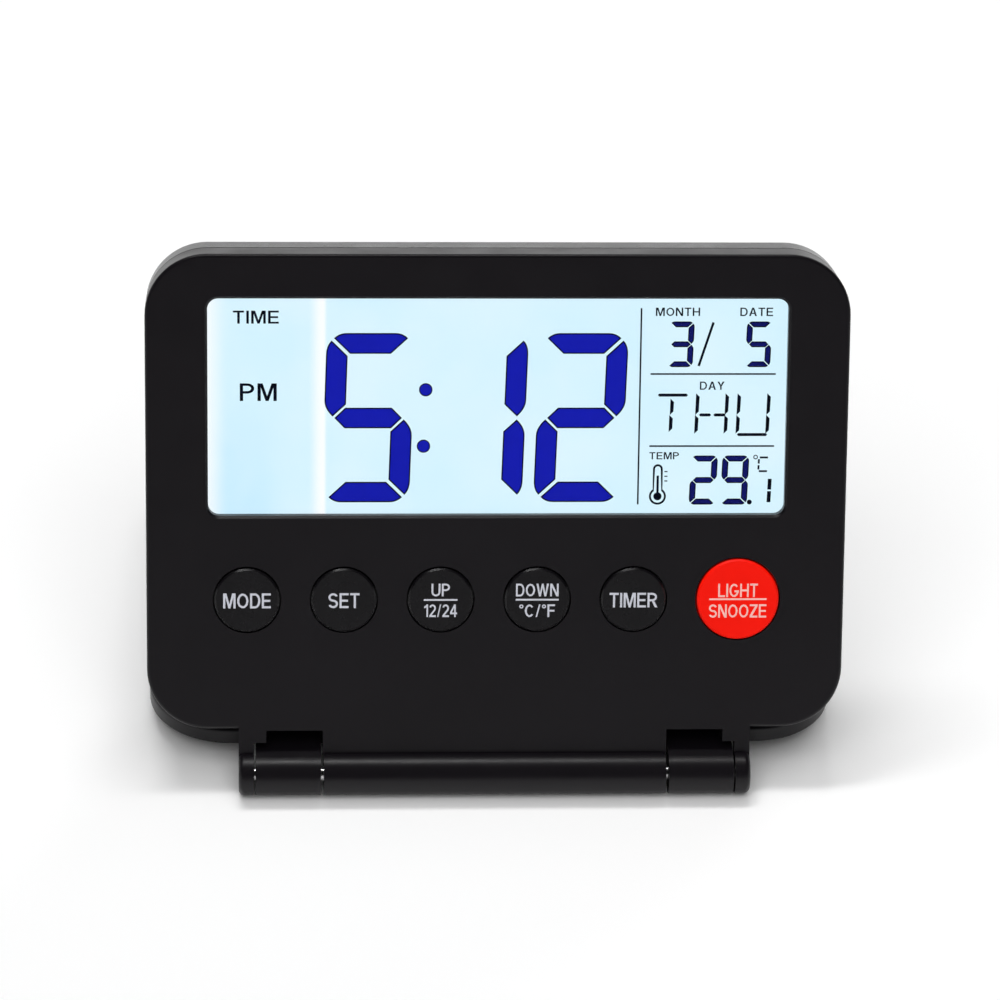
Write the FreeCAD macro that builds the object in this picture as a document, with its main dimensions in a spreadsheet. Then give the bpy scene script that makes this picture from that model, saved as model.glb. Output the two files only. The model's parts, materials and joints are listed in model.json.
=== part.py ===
"""Folding travel alarm clock: a display unit, and a flip lid that swings behind it as a stand.

Every piece is drawn in the clock's own upright frame: X runs along the hinge, the hinge axis is the
line Y = 0, Z = 0, the front face is the plane Y = 0, and depths into the case are positive Y.  The
lid is drawn closed over the front face.  Placements then lean the display unit back on the opened lid.
"""
import FreeCAD, Part
import math
import os
import Sketcher

DOC = FreeCAD.newDocument("TravelClock")
SHEET_NAME = "Sizes"

# Driving dimensions in millimetres and degrees: alias, value.
SIZES = [
    # display unit shell
    ("case_width", 102.0), ("case_top", 77.5), ("case_foot", 6.9), ("case_corner", 9.0),
    ("split_depth", 5.8), ("wall", 1.6), ("front_round", 0.5), ("back_round", 1.0),
    ("lip_height", 0.8), ("fit_gap", 0.1), ("foot_wall", 2.2), ("overcut", 1.0),
    ("seam_width", 0.35), ("seam_depth", 0.3),
    # window, lens and display stack
    ("bezel_side", 9.0), ("bezel_top", 6.5), ("window_rise", 12.55), ("window_corner", 1.6),
    ("window_bevel", 0.35), ("lens_overlap", 1.0), ("lens_thick", 1.0), ("rib_wall", 0.8),
    ("glass_overlap", 0.9), ("glass_thick", 0.7), ("film_thick", 0.2), ("film_inset", 0.4),
    ("ledge", 2.4), ("guide_thick", 1.5), ("reflector_thick", 0.15), ("frame_wall", 0.8),
    ("frame_plate", 1.0), ("stack_gap", 0.1), ("led_length", 1.4), ("led_width", 4.2),
    ("ear_inset", 6.0), ("ribbon_half", 35.0), ("ribbon_thick", 0.1), ("ribbon_gap", 0.2),
    # buttons and switches
    ("row_height", 26.4), ("first_inset", 14.63), ("snooze_inset", 15.6), ("snooze_space", 15.32),
    ("button_radius", 4.75), ("snooze_radius", 6.0), ("button_gap", 0.25), ("button_proud", 0.4),
    ("button_travel", 0.4), ("flange_lip", 0.85), ("flange_thick", 0.5), ("cap_skin", 0.8),
    ("cap_wall", 0.8), ("stem_radius", 1.5), ("cap_chamfer", 0.25), ("flange_gap", 0.1),
    ("switch_side", 6.0), ("switch_height", 1.5), ("switch_gap", 0.1), ("plunger_radius", 1.2),
    ("plunger_bore_gap", 0.08), ("plunger_length", 1.35), ("switch_floor", 0.1),
    # circuit board and what it carries
    ("board_inset", 8.0), ("board_low", 9.7), ("board_margin", 2.3), ("board_thick", 1.0),
    ("board_boss_inset", 11.0), ("board_boss_rise", 2.9), ("board_boss_clear", 1.1),
    ("small_boss", 1.8), ("small_screw", 0.75), ("small_head", 1.5), ("small_head_height", 0.9),
    ("chip_place", -6.5), ("chip_radius", 3.7), ("chip_thick", 1.6), ("chip_round", 1.2),
    ("crystal_place", -37.0), ("crystal_height", 12.6), ("crystal_radius", 1.0), ("crystal_length", 6.0),
    ("bead_inset", 13.4), ("bead_height", 22.4), ("bead_radius", 1.1), ("bead_stand", 2.4),
    ("leg_radius", 0.25), ("leg_space", 1.2), ("part_length", 1.6), ("part_width", 0.8),
    ("part_thick", 0.6), ("part_pitch", 3.0), ("parts_start", -11.0), ("parts_low", 15.0),
    ("parts_high", 32.6),
    # battery and its door
    ("cell_radius", 10.0), ("cell_thick", 3.2), ("cell_place", 12.0), ("cell_height", 23.0),
    ("cell_gap", 0.25), ("cell_stand", 1.25), ("cell_rim", 0.4), ("cell_step", 1.2), ("cup_wall", 1.0),
    ("door_side", 25.0), ("door_thick", 1.5), ("door_gap", 0.15), ("tab_reach", 1.3),
    ("tab_thick", 0.8), ("tab_width", 4.0), ("tab_place", 6.25), ("tab_clear", 0.8), ("tab_swing", 1.6),
    ("scoop_half", 4.0), ("scoop_high", 2.0),
    ("scoop_deep", 0.8), ("ridge_half", 5.0), ("ridge_start", 2.0), ("ridge_pitch", 1.4),
    ("ridge_width", 0.6), ("ridge_deep", 0.3), ("contact_thick", 0.2), ("contact_half", 2.0),
    ("contact_room", 0.6),
    ("leaf_foot", 7.0), ("leaf_bend", 3.0), ("leaf_crest", 1.0), ("leaf_end", 4.0),
    # buzzer, sound holes and vents
    ("buzzer_place", -22.0), ("buzzer_height", 23.0), ("buzzer_radius", 10.0), ("brass_thick", 0.25),
    ("ceramic_radius", 7.0), ("ceramic_thick", 0.25), ("buzzer_seat", 0.8), ("spring_wire", 0.2),
    ("spring_radius", 1.1), ("spring_inset", 1.5), ("sound_hole", 0.64), ("sound_ring", 5.0),
    ("vent_inset", 15.0), ("vent_length", 8.0), ("vent_width", 1.0), ("vent_pitch", 2.56),
    # screws that close the case
    ("boss_side_gap", 1.5), ("boss_top_gap", 1.6), ("screw_rise", 6.1), ("boss_radius", 2.3),
    ("screw_shank", 1.0), ("screw_head", 2.0), ("screw_head_height", 1.1), ("screw_sink", 1.6),
    ("screw_reach", 7.0), ("thread_gap", 0.02), ("slot_reach", 0.65), ("slot_half", 0.14),
    ("slot_level", 0.4),
    # hinge
    ("barrel_radius", 3.08), ("hinge_inset", 13.35), ("ear_width", 2.25), ("ear_gap", 0.25),
    ("ear_round", 0.8), ("knuckle_width", 9.55), ("barrel_gap", 0.45), ("web_thick", 2.4), ("arm_width", 7.7),
    ("arm_gap", 0.3), ("notch_rise", 1.85), ("gusset_gap", 0.46), ("pin_radius", 1.0),
    ("pin_seat", 3.15), ("pin_inset", 0.25), ("press_gap", 0.01), ("running_gap", 0.05),
    # lid
    ("lid_foot", 6.4), ("lid_corner", 12.0), ("lid_gap", 0.8), ("lid_thick", 2.6), ("lid_skin", 1.4),
    ("lid_rim", 1.8), ("lid_round", 0.8), ("pad_radius", 3.0), ("pad_inset", 8.0), ("pad_low", 15.0),
    ("pad_top_inset", 7.5), ("pad_gap", 0.3), ("stop_gap", 0.15), ("stand_angle", 68.0),
]

# How many of each repeated feature, and which buttons share the row.
ROW = ("mode", "set", "up", "down", "timer")
RIDGES = 4
SOUND_HOLES = 6
VENTS_EACH_WAY = 2
CONTACT_COILS = 4
# Farthest that an edge may lie from a plane and still count as in it.
FLATNESS = 1e-4


class Size:
    """A number that also carries the spreadsheet formula it comes from."""

    def __init__(self, value, formula):
        self.value = float(value)
        self.formula = formula

    @staticmethod
    def of(other):
        return other if isinstance(other, Size) else Size(other, repr(float(other)))

    def join(self, sign, other, value):
        return Size(value, f"({self.formula} {sign} {other.formula})")

    def __add__(self, other):
        other = Size.of(other)
        return self.join("+", other, self.value + other.value)

    def __sub__(self, other):
        other = Size.of(other)
        return self.join("-", other, self.value - other.value)

    def __mul__(self, other):
        other = Size.of(other)
        return self.join("*", other, self.value * other.value)

    def __truediv__(self, other):
        other = Size.of(other)
        return self.join("/", other, self.value / other.value)

    def __radd__(self, other):
        return Size.of(other) + self

    def __rsub__(self, other):
        return Size.of(other) - self

    def __rmul__(self, other):
        return Size.of(other) * self

    def __neg__(self):
        return Size(-self.value, f"(0 - {self.formula})")


def sine(angle):
    return Size(math.sin(math.radians(angle.value)), f"sin({angle.formula})")


def cosine(angle):
    return Size(math.cos(math.radians(angle.value)), f"cos({angle.formula})")


class Cells:
    """The spreadsheet's cells as Size attributes."""


def make_sheet():
    sheet = DOC.addObject("Spreadsheet::Sheet", SHEET_NAME)
    cells = Cells()
    for row, (alias, value) in enumerate(SIZES, start=1):
        sheet.set(f"A{row}", alias)
        sheet.set(f"B{row}", str(value))
        sheet.setAlias(f"B{row}", alias)
        setattr(cells, alias, Size(value, f"{SHEET_NAME}.{alias}"))
    DOC.recompute()
    return cells


d = make_sheet()
PIECES = {}


# ---------------------------------------------------------------- drawing helpers

def ordered(*sizes):
    return sorted(sizes, key=lambda size: size.value)


def bind(thing, name, size):
    thing.setExpression(name, Size.of(size).formula)


def constrain(sketch, kind, where, size):
    """Adds a dimension to the sketch and ties it to its formula."""
    size = Size.of(size)
    index = sketch.addConstraint(Sketcher.Constraint(kind, *where, size.value))
    sketch.setExpression(f"Constraints[{index}]", size.formula)


def pin_point(sketch, geometry, point, across, up):
    constrain(sketch, "DistanceX", (-1, 1, geometry, point), across)
    constrain(sketch, "DistanceY", (-1, 1, geometry, point), up)


class Circle:
    """A circle at (across, up) in a sketch."""

    def __init__(self, across, up, radius):
        self.across, self.up, self.radius = Size.of(across), Size.of(up), Size.of(radius)

    def draw(self, sketch):
        centre = FreeCAD.Vector(self.across.value, self.up.value, 0)
        index = sketch.addGeometry(Part.Circle(centre, FreeCAD.Vector(0, 0, 1), self.radius.value))
        pin_point(sketch, index, 3, self.across, self.up)
        constrain(sketch, "Radius", (index,), self.radius)


class Polygon:
    """A closed outline through points (across, up)."""

    def __init__(self, *points):
        self.points = [(Size.of(a), Size.of(b)) for a, b in points]

    def draw(self, sketch):
        corners = [FreeCAD.Vector(a.value, b.value, 0) for a, b in self.points]
        count = len(corners)
        lines = [sketch.addGeometry(Part.LineSegment(corners[i], corners[(i + 1) % count]))
                 for i in range(count)]
        for i in range(count):
            sketch.addConstraint(Sketcher.Constraint("Coincident", lines[i], 2, lines[(i + 1) % count], 1))
        for line, (across, up) in zip(lines, self.points):
            pin_point(sketch, line, 1, across, up)


def rectangle(left, right, low, high):
    return Polygon((left, low), (right, low), (right, high), (left, high))


class RoundedRectangle:
    """A rectangle with equal rounded corners."""

    def __init__(self, left, right, low, high, radius):
        self.left, self.right, self.low, self.high = (Size.of(s) for s in (left, right, low, high))
        self.radius = Size.of(radius)

    def draw(self, sketch):
        r, flat = self.radius.value, FreeCAD.Vector(0, 0, 1)
        inner = [(self.left.value + r, self.low.value + r), (self.right.value - r, self.low.value + r),
                 (self.right.value - r, self.high.value - r), (self.left.value + r, self.high.value - r)]
        lines, arcs = [], []
        for i, (x, y) in enumerate(inner):
            start = math.pi + i * math.pi / 2
            circle = Part.Circle(FreeCAD.Vector(x, y, 0), flat, r)
            arcs.append(sketch.addGeometry(Part.ArcOfCircle(circle, start, start + math.pi / 2)))
            x2, y2 = inner[(i + 1) % 4]
            out = FreeCAD.Vector(math.cos(start + math.pi / 2), math.sin(start + math.pi / 2), 0) * r
            line = Part.LineSegment(FreeCAD.Vector(x, y, 0) + out, FreeCAD.Vector(x2, y2, 0) + out)
            lines.append(sketch.addGeometry(line))
        for i in range(4):
            sketch.addConstraint(Sketcher.Constraint("Tangent", arcs[i], 2, lines[i], 1))
            sketch.addConstraint(Sketcher.Constraint("Tangent", lines[i], 2, arcs[(i + 1) % 4], 1))
            level = "Horizontal" if i % 2 == 0 else "Vertical"
            sketch.addConstraint(Sketcher.Constraint(level, lines[i]))
            if i:
                sketch.addConstraint(Sketcher.Constraint("Equal", arcs[0], arcs[i]))
        constrain(sketch, "Radius", (arcs[0],), self.radius)
        constrain(sketch, "DistanceY", (-1, 1, lines[0], 1), self.low)
        constrain(sketch, "DistanceX", (-1, 1, lines[1], 1), self.right)
        constrain(sketch, "DistanceY", (-1, 1, lines[2], 1), self.high)
        constrain(sketch, "DistanceX", (-1, 1, lines[3], 1), self.left)


def case_outline(inset, low=None):
    """The display unit's outline, moved inwards by inset."""
    half = d.case_width / 2 - inset
    bottom = d.case_foot + inset if low is None else low
    return RoundedRectangle(-half, half, bottom, d.case_top - inset, d.case_corner - inset)


class Piece:
    """A PartDesign body built from slabs: outlines padded or pocketed along one direction."""

    PLANES = {"depth": "XZ_Plane", "across": "YZ_Plane"}

    def __init__(self, name):
        self.name = name
        self.body = DOC.addObject("PartDesign::Body", name)
        self.count = 0

    def sketch(self, direction, start, shapes):
        """A sketch that faces along depth (X, Z drawn) or across (Y, Z drawn), moved to start."""
        self.count += 1
        sketch = self.body.newObject("Sketcher::SketchObject", f"{self.name}_sketch_{self.count}")
        role = self.PLANES[direction]
        plane = next(o for o in self.body.Origin.OriginFeatures if o.Role == role)
        sketch.AttachmentSupport = (plane, [""])
        sketch.MapMode = "FlatFace"
        start = Size.of(start)
        offset = -start if direction == "depth" else start
        sketch.AttachmentOffset = FreeCAD.Placement(FreeCAD.Vector(0, 0, offset.value), FreeCAD.Rotation())
        bind(sketch, ".AttachmentOffset.Base.z", offset)
        for shape in shapes:
            shape.draw(sketch)
        sketch.Visibility = False
        return sketch

    def slab(self, kind, direction, start, end, shapes):
        sketch = self.sketch(direction, start, shapes)
        feature = self.body.newObject(f"PartDesign::{kind}", f"{self.name}_{kind.lower()}_{self.count}")
        feature.Profile = sketch
        # Pads follow the sketch's normal, which is -Y for depth and +X for across; pockets oppose it.
        feature.Reversed = (direction == "depth") == (kind == "Pad")
        length = Size.of(end) - start
        feature.Length = length.value
        bind(feature, "Length", length)
        return feature

    def add(self, start, end, *shapes, direction="depth"):
        self.slab("Pad", direction, start, end, shapes)
        return self

    def cut(self, start, end, *shapes, direction="depth"):
        DOC.recompute()
        before = self.body.Tip.Shape.Volume
        feature = self.slab("Pocket", direction, start, end, shapes)
        DOC.recompute()
        if feature.Shape.Volume >= before:
            raise RuntimeError(f"{feature.Name} removes nothing")
        return self

    def soften(self, kind, size, chosen):
        """Fillets or chamfers the edges that chosen(edge) picks."""
        DOC.recompute()
        base = self.body.Tip
        names = [f"Edge{i}" for i, edge in enumerate(base.Shape.Edges, start=1) if chosen(edge)]
        self.count += 1
        feature = self.body.newObject(f"PartDesign::{kind}", f"{self.name}_{kind.lower()}_{self.count}")
        feature.Base = (base, names)
        if kind == "Fillet":
            feature.Radius = size.value
            bind(feature, "Radius", size)
        else:
            feature.Size = size.value
            bind(feature, "Size", size)
        return self

    def done(self, frame="clock"):
        PIECES[self.name] = (self.body, frame)
        self.body.Label = self.name


def lies_at_depth(depth, inside=None):
    """Picks edges that lie wholly in the plane Y = depth, within a half-width and a height range."""
    depth = Size.of(depth)

    def chosen(edge):
        box = edge.BoundBox
        if abs(box.YMin - depth.value) > FLATNESS or abs(box.YMax - depth.value) > FLATNESS:
            return False
        if inside is None:
            return True
        half, low, high = (Size.of(s).value for s in inside)
        return abs(box.XMin) < half and abs(box.XMax) < half and box.ZMin > low and box.ZMax < high
    return chosen


def is_ring_at(edge, half):
    """True for an edge that lies wholly in one of the planes X = -half and X = half."""
    box = edge.BoundBox
    return box.XLength < FLATNESS and abs(abs(box.Center.x) - half.value) < FLATNESS


TURN = {
    "x": FreeCAD.Rotation(FreeCAD.Vector(0, 1, 0), 90),
    "y": FreeCAD.Rotation(FreeCAD.Vector(1, 0, 0), -90),
    "z": FreeCAD.Rotation(),
}


def set_base(thing, rotation, x, y, z):
    place = [Size.of(s) for s in (x, y, z)]
    thing.Placement = FreeCAD.Placement(FreeCAD.Vector(*[s.value for s in place]), rotation)
    for letter, size in zip("xyz", place):
        bind(thing, f".Placement.Base.{letter}", size)


def block(name, x, y, z):
    """A box between (low, high) pairs along each axis."""
    thing = DOC.addObject("Part::Box", name)
    for side, (low, high) in zip(("Length", "Width", "Height"), (x, y, z)):
        bind(thing, side, Size.of(high) - low)
    set_base(thing, TURN["z"], x[0], y[0], z[0])
    return thing


def rod(name, axis, radius, start, end, first, second):
    """A cylinder along axis from start to end, centred on the other two coordinates in x, y, z order."""
    thing = DOC.addObject("Part::Cylinder", name)
    bind(thing, "Radius", radius)
    bind(thing, "Height", Size.of(end) - start)
    place = {"x": (start, first, second), "y": (first, start, second), "z": (first, second, start)}[axis]
    set_base(thing, TURN[axis], *place)
    return thing


def fuse(name, things):
    joined = DOC.addObject("Part::MultiFuse", name)
    joined.Shapes = things
    return joined


def subtract(name, base, tool):
    result = DOC.addObject("Part::Cut", name)
    result.Base, result.Tool = base, tool
    return result


def group(name, things, frame="clock"):
    """Separate solids that share one node."""
    whole = DOC.addObject("Part::Compound", name)
    whole.Links = things
    PIECES[name] = (whole, frame)
    whole.Label = name
    return whole


def single(name, thing, frame="clock"):
    """One solid as a node, wrapped so that its own placement stays as drawn."""
    return group(name, [thing], frame)


# ---------------------------------------------------------------- derived depths and places

half_width = d.case_width / 2
window_half = half_width - d.bezel_side
window_low = d.row_height + d.window_rise
window_high = d.case_top - d.bezel_top

lens_front = d.wall
lens_back = lens_front + d.lens_thick
film_front = lens_back + d.stack_gap
glass_front = film_front + d.film_thick
glass_middle = glass_front + d.glass_thick
glass_back = glass_middle + d.glass_thick
film_back = glass_back + d.film_thick
guide_front = film_back + d.stack_gap
guide_back = guide_front + d.guide_thick
reflector_back = guide_back + d.reflector_thick
frame_front = reflector_back + d.stack_gap
frame_back = frame_front + d.frame_plate
glass_half = window_half + d.glass_overlap
glass_low = window_low - d.glass_overlap
glass_high = window_high + d.glass_overlap
ledge_top = glass_low + d.ledge

flange_front = d.wall + d.flange_gap
flange_back = flange_front + d.flange_thick
switch_front = flange_back + d.button_travel + d.switch_gap
board_front = switch_front + d.switch_height
board_back = board_front + d.board_thick
board_half = half_width - d.board_inset
cell_front = board_back + d.cell_stand
cell_back = cell_front + d.cell_thick
door_inner = cell_back + d.cell_gap
case_depth = door_inner + d.door_thick
inner_back = case_depth - d.wall
screw_x = half_width - d.wall - d.boss_side_gap - d.boss_radius
screw_low = d.case_foot + d.screw_rise
screw_top = d.case_top - d.wall - d.boss_top_gap - d.boss_radius
door_half = d.door_side / 2

ear_end = half_width - d.hinge_inset
ear_start = ear_end - d.ear_width
knuckle_end = ear_start - d.ear_gap
knuckle_start = knuckle_end - d.knuckle_width
barrel_half = knuckle_start - d.barrel_gap
arm_end = knuckle_start + d.arm_width
notch_start = knuckle_start - d.arm_gap
notch_side = arm_end + d.arm_gap
# lowest point of the web that the opened arms clear
gusset_foot = (d.barrel_radius + d.web_thick * cosine(d.stand_angle)) / sine(d.stand_angle) + d.gusset_gap
notch_top = gusset_foot + d.notch_rise
lid_outer = d.lid_gap + d.lid_thick
pad_high = d.case_top - d.pad_top_inset

first_button = d.first_inset - half_width
snooze_place = half_width - d.snooze_inset
button_pitch = (snooze_place - d.snooze_space - first_button) / (len(ROW) - 1)

BUTTONS = [(name, first_button + button_pitch * i, d.button_radius) for i, name in enumerate(ROW)]
BUTTONS.append(("snooze", snooze_place, d.snooze_radius))
CORNER_SCREWS = [(side * screw_x, height) for side in (-1, 1)
                 for height in (screw_low, screw_top)]
boss_high = d.row_height + d.button_radius + d.flange_lip + d.small_boss + d.board_boss_clear
board_high = boss_high + d.board_margin
BOARD_SCREWS = [(side * (half_width - d.board_boss_inset), height) for side in (-1, 1)
                for height in (d.board_low + d.board_boss_rise, boss_high)]
frame_half = glass_half + d.stack_gap + d.frame_wall
FRAME_SCREWS = [(side * (frame_half + d.small_boss), height) for side in (-1, 1)
                for height in (window_low + d.ear_inset, window_high - d.ear_inset)]


# ---------------------------------------------------------------- display unit shells

def make_front_case():
    case = Piece("front_case")
    case.add(0, d.split_depth, case_outline(0))
    case.soften("Fillet", d.front_round, lies_at_depth(0))
    case.cut(d.wall, d.split_depth, case_outline(d.wall))
    case.cut(d.split_depth - d.lip_height, d.split_depth, case_outline(d.wall / 2))
    # shadow line where the two shells meet
    case.cut(d.split_depth - d.seam_width, d.split_depth, case_outline(-d.overcut),
             case_outline(d.seam_depth))
    # tongue below the case: web, ears and the middle of the hinge barrel
    case.body.AllowCompound = True
    for start, end in ((-ear_end, -ear_start), (ear_start, ear_end)):
        case.add(start, end, Circle(0, 0, d.barrel_radius), direction="across")
    case.soften("Fillet", d.ear_round, lambda edge: is_ring_at(edge, ear_end))
    case.add(0, d.web_thick, rectangle(-ear_end, ear_end, 0, d.case_foot + d.wall))
    case.add(-barrel_half, barrel_half, Circle(0, 0, d.barrel_radius), direction="across")
    foot = -d.barrel_radius - d.overcut
    for side in (-1, 1):
        outline = Polygon((side * barrel_half, foot), (side * ear_start, foot),
                          (side * ear_start, gusset_foot), (side * notch_side, gusset_foot),
                          (side * notch_side, notch_top), (side * notch_start, notch_top),
                          (side * notch_start, d.barrel_radius), (side * barrel_half, d.barrel_radius))
        case.cut(foot, -foot, outline)
    pin_start = barrel_half - d.pin_seat
    for start, end in ((-ear_end, -pin_start), (pin_start, ear_end)):
        bore = Circle(0, 0, d.pin_radius + d.press_gap)
        case.cut(start, end, bore, direction="across")
    # lens seat: a rib around the lens pocket behind the window
    lens_half = window_half + d.lens_overlap + d.fit_gap
    lens_low = window_low - d.lens_overlap - d.fit_gap
    lens_high = window_high + d.lens_overlap + d.fit_gap
    case.add(d.wall, lens_back, *[rectangle(*edge) for edge in (
        (-lens_half - d.rib_wall, lens_half + d.rib_wall, lens_low - d.rib_wall, lens_low),
        (-lens_half - d.rib_wall, lens_half + d.rib_wall, lens_high, lens_high + d.rib_wall))])
    case.add(d.wall, lens_back, *[rectangle(*edge) for edge in (
        (-lens_half - d.rib_wall, -lens_half, lens_low - d.rib_wall, lens_high + d.rib_wall),
        (lens_half, lens_half + d.rib_wall, lens_low - d.rib_wall, lens_high + d.rib_wall))])
    # window, with its bevelled front edge
    half = window_half
    case.cut(0, d.wall, RoundedRectangle(-half, half, window_low, window_high, d.window_corner))
    margin = d.window_bevel * 2
    inside = (half + margin, window_low - margin, window_high + margin)
    case.soften("Chamfer", d.window_bevel, lies_at_depth(0, inside))
    case.cut(0, d.wall, *[Circle(x, d.row_height, r + d.button_gap) for _, x, r in BUTTONS])
    # bosses, each with a blind pilot hole
    case.add(d.wall, d.split_depth, *[Circle(x, z, d.boss_radius) for x, z in CORNER_SCREWS])
    case.add(d.wall, board_front, *[Circle(x, z, d.small_boss) for x, z in BOARD_SCREWS])
    case.add(d.wall, frame_front, *[Circle(x, z, d.small_boss) for x, z in FRAME_SCREWS])
    shank = d.screw_shank + d.thread_gap
    case.cut(case_depth - d.screw_sink - d.screw_reach, d.split_depth,
             *[Circle(x, z, shank) for x, z in CORNER_SCREWS])
    small = d.small_screw + d.thread_gap
    case.cut(d.wall + d.fit_gap, board_front, *[Circle(x, z, small) for x, z in BOARD_SCREWS])
    case.cut(d.wall + d.fit_gap, frame_front, *[Circle(x, z, small) for x, z in FRAME_SCREWS])
    case.done()


def make_rear_case():
    case = Piece("rear_case")
    case.add(d.split_depth, case_depth, case_outline(0))
    case.soften("Fillet", d.back_round, lies_at_depth(case_depth))
    lip_front = d.split_depth - d.lip_height + d.fit_gap
    case.add(lip_front, d.split_depth, case_outline(d.wall / 2 + d.fit_gap))
    case.cut(lip_front, inner_back, case_outline(d.wall, low=d.case_foot + d.foot_wall))
    # sloping foot that comes to rest on the opened lid
    reach = lid_outer + d.stop_gap
    sine_, cosine_ = sine(d.stand_angle), cosine(d.stand_angle)
    slope_start = (d.case_foot * sine_ - reach) / cosine_
    deep = case_depth + d.overcut
    slope_end = (reach + deep * cosine_) / sine_
    under = d.case_foot - d.overcut
    case.cut(-half_width - d.overcut, half_width + d.overcut,
             Polygon((slope_start, d.case_foot), (slope_start, under), (deep, under), (deep, slope_end)),
             direction="across")
    # screw posts
    case.add(d.split_depth, inner_back, *[Circle(x, z, d.boss_radius) for x, z in CORNER_SCREWS])
    case.cut(d.split_depth, case_depth,
             *[Circle(x, z, d.screw_shank + d.fit_gap) for x, z in CORNER_SCREWS])
    case.cut(case_depth - d.screw_sink, case_depth,
             *[Circle(x, z, d.screw_head + d.fit_gap) for x, z in CORNER_SCREWS])
    # battery cup and door opening
    x, z = d.cell_place, d.cell_height
    outer, bore = door_half + d.cup_wall, d.cell_radius + d.cell_gap
    case.add(cell_front, inner_back,
             RoundedRectangle(x - outer, x + outer, z - outer, z + outer, d.boss_radius))
    case.cut(cell_front, inner_back, Circle(x, z, bore))
    case.cut(inner_back, case_depth, rectangle(x - door_half, x + door_half, z - door_half, z + door_half))
    slot = d.contact_half + d.stack_gap
    case.cut(cell_front, inner_back,
             rectangle(x + bore - d.overcut, x + d.cell_radius + d.contact_thick + d.contact_room,
                       z - slot, z + slot))
    # pockets that the door's tabs hook into
    pocket = d.tab_width / 2 + d.door_gap
    pocket_front = inner_back - d.door_gap - d.tab_thick - d.tab_clear
    top = z + door_half
    case.cut(pocket_front, inner_back, *[
        rectangle(x + side * d.tab_place - pocket, x + side * d.tab_place + pocket,
                  top - d.tab_thick - d.tab_swing, top + d.tab_reach + d.door_gap) for side in (-1, 1)])
    # finger scoop below the door
    case.cut(case_depth - d.scoop_deep, case_depth,
             rectangle(x - d.scoop_half, x + d.scoop_half, z - door_half - d.scoop_high, z - door_half))
    # buzzer seat and its sound holes
    case.add(inner_back - d.buzzer_seat, inner_back,
             Circle(d.buzzer_place, d.buzzer_height, d.buzzer_radius + d.rib_wall))
    case.cut(inner_back - d.buzzer_seat, inner_back,
             Circle(d.buzzer_place, d.buzzer_height, d.buzzer_radius - d.rib_wall))
    holes = [Circle(d.buzzer_place, d.buzzer_height, d.sound_hole)]
    for i in range(SOUND_HOLES):
        turn = 2 * math.pi * i / SOUND_HOLES
        holes.append(Circle(d.buzzer_place + d.sound_ring * math.cos(turn),
                            d.buzzer_height + d.sound_ring * math.sin(turn), d.sound_hole))
    case.cut(inner_back, case_depth, *holes)
    # vents beside the thermistor
    vent_end = half_width - d.vent_inset + d.vent_length
    case.cut(inner_back, case_depth, *[
        rectangle(vent_end - d.vent_length, vent_end, d.bead_height + d.vent_pitch * i,
                  d.bead_height + d.vent_pitch * i + d.vent_width)
        for i in range(-VENTS_EACH_WAY, VENTS_EACH_WAY + 1)])
    case.done()


# ---------------------------------------------------------------- display stack

def plate(name, left, right, low, high, front, back):
    piece = Piece(name)
    piece.add(front, back, rectangle(left, right, low, high))
    piece.done()


def make_display():
    lens = window_half + d.lens_overlap
    plate("display_lens", -lens, lens, window_low - d.lens_overlap, window_high + d.lens_overlap,
          lens_front, lens_back)
    inset = d.film_inset
    plate("lcd_front_polariser", -glass_half + inset, glass_half - inset, glass_low + inset,
          glass_high - inset, film_front, glass_front)
    plate("lcd_front_glass", -glass_half, glass_half, glass_low, glass_high, glass_front, glass_middle)
    plate("lcd_rear_glass", -glass_half, glass_half, ledge_top, glass_high, glass_middle, glass_back)
    plate("lcd_rear_polariser", -glass_half + inset, glass_half - inset, ledge_top + inset,
          glass_high - inset, glass_back, film_back)
    guide_left = -glass_half + d.led_length + d.stack_gap
    plate("light_guide", guide_left, glass_half, ledge_top, glass_high, guide_front, guide_back)
    plate("reflector_sheet", guide_left, glass_half, ledge_top, glass_high, guide_back, reflector_back)
    middle = (ledge_top + glass_high) / 2
    plate("backlight_led", -glass_half, -glass_half + d.led_length, middle - d.led_width / 2,
          middle + d.led_width / 2, guide_front, guide_back)
    frame = Piece("display_frame")
    frame_low = ledge_top - d.stack_gap - d.frame_wall
    frame_high = glass_high + d.stack_gap + d.frame_wall
    frame.add(lens_back + d.stack_gap, frame_back, rectangle(-frame_half, frame_half, frame_low, frame_high))
    frame.cut(lens_back + d.stack_gap, frame_front,
              rectangle(-glass_half - d.stack_gap, glass_half + d.stack_gap, ledge_top - d.stack_gap,
                        glass_high + d.stack_gap))
    # low side stepped back for the front glass's ledge and the ribbon on it
    frame.cut(lens_back + d.stack_gap, glass_middle + d.ribbon_thick + d.ribbon_gap,
              rectangle(-frame_half, frame_half, frame_low, ledge_top))
    frame.add(frame_front, frame_back, *[
        rectangle(x - d.small_boss, x + d.small_boss, z - d.small_boss, z + d.small_boss)
        for x, z in FRAME_SCREWS])
    # corners cleared for the case screw posts
    clear = d.boss_radius + d.fit_gap * 2
    far = frame_half + d.overcut
    frame.cut(lens_back + d.stack_gap, frame_back, *[
        rectangle(*ordered(side * (screw_x - clear), side * far),
                  screw_top - clear, frame_high + d.overcut) for side in (-1, 1)])
    frame.cut(frame_front, frame_back, *[Circle(x, z, d.small_screw + d.fit_gap) for x, z in FRAME_SCREWS])
    frame.done()


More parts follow.
